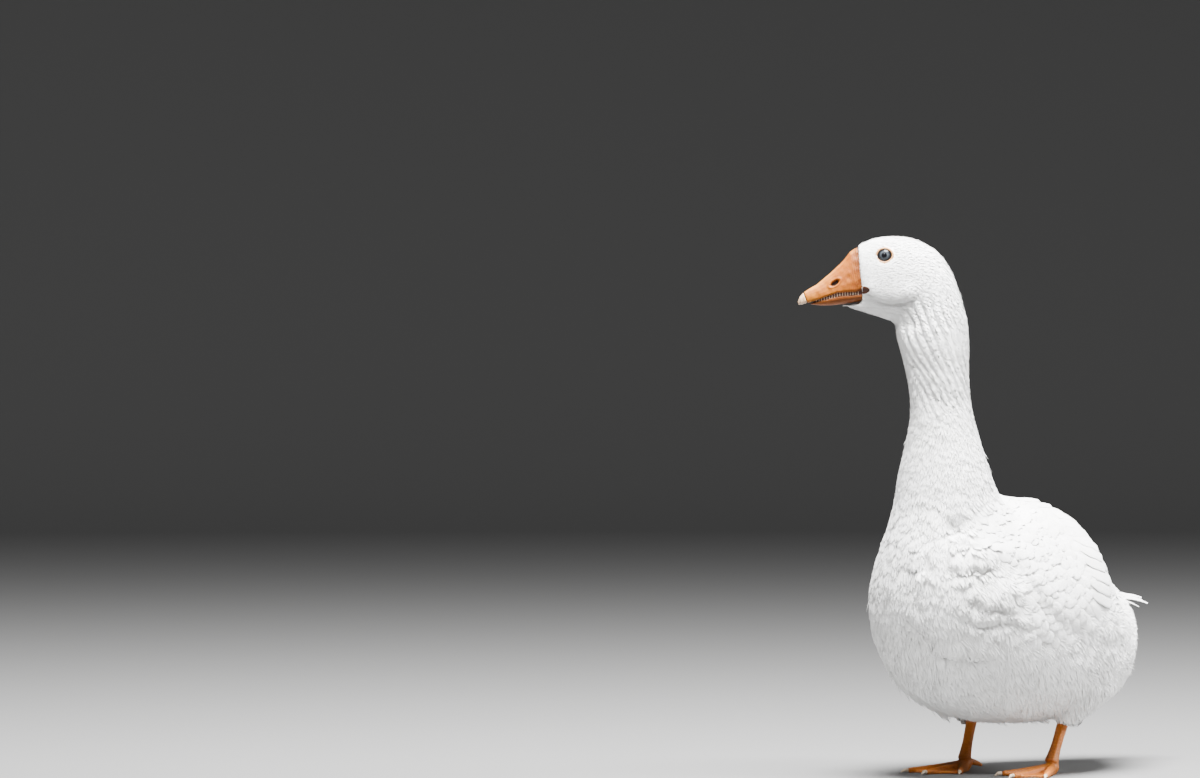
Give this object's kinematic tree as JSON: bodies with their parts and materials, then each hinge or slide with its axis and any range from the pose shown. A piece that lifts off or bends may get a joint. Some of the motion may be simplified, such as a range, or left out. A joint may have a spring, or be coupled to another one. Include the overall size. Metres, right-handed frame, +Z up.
{
  "type": "domestic goose",
  "caption": "Life-size white domestic goose standing still, body facing forward and head turned level to its right.",
  "frame": {"origin": "middle of the bounding box's bottom face, on the floor between the feet", "axes": "+Z up, the body faces -Y, its left side is +X"},
  "size_m": [0.2584, 0.4986, 0.5978],
  "materials": {
    "plumage": "matte white feathers",
    "orange_skin": "satin skin and scales",
    "horn": "pale satin horn",
    "eye": "wet gloss"
  },
  "bodies": {
    "root": {"trunk": "plumage", "neck": "plumage", "head": "plumage", "wing_left": "plumage", "wing_right": "plumage", "primaries_left": "plumage", "primaries_right": "plumage", "tail": "plumage", "thigh_left": "plumage", "thigh_right": "plumage", "bill_upper": "orange_skin", "bill_lower": "orange_skin", "shank_left": "orange_skin", "shank_right": "orange_skin", "foot_left": "orange_skin", "foot_right": "orange_skin", "bill_nail": "horn", "claw_left_1": "horn", "claw_left_2": "horn", "claw_left_3": "horn", "claw_right_1": "horn", "claw_right_2": "horn", "claw_right_3": "horn", "eye_left": "eye", "eye_right": "eye"}
  },
  "joints": []
}
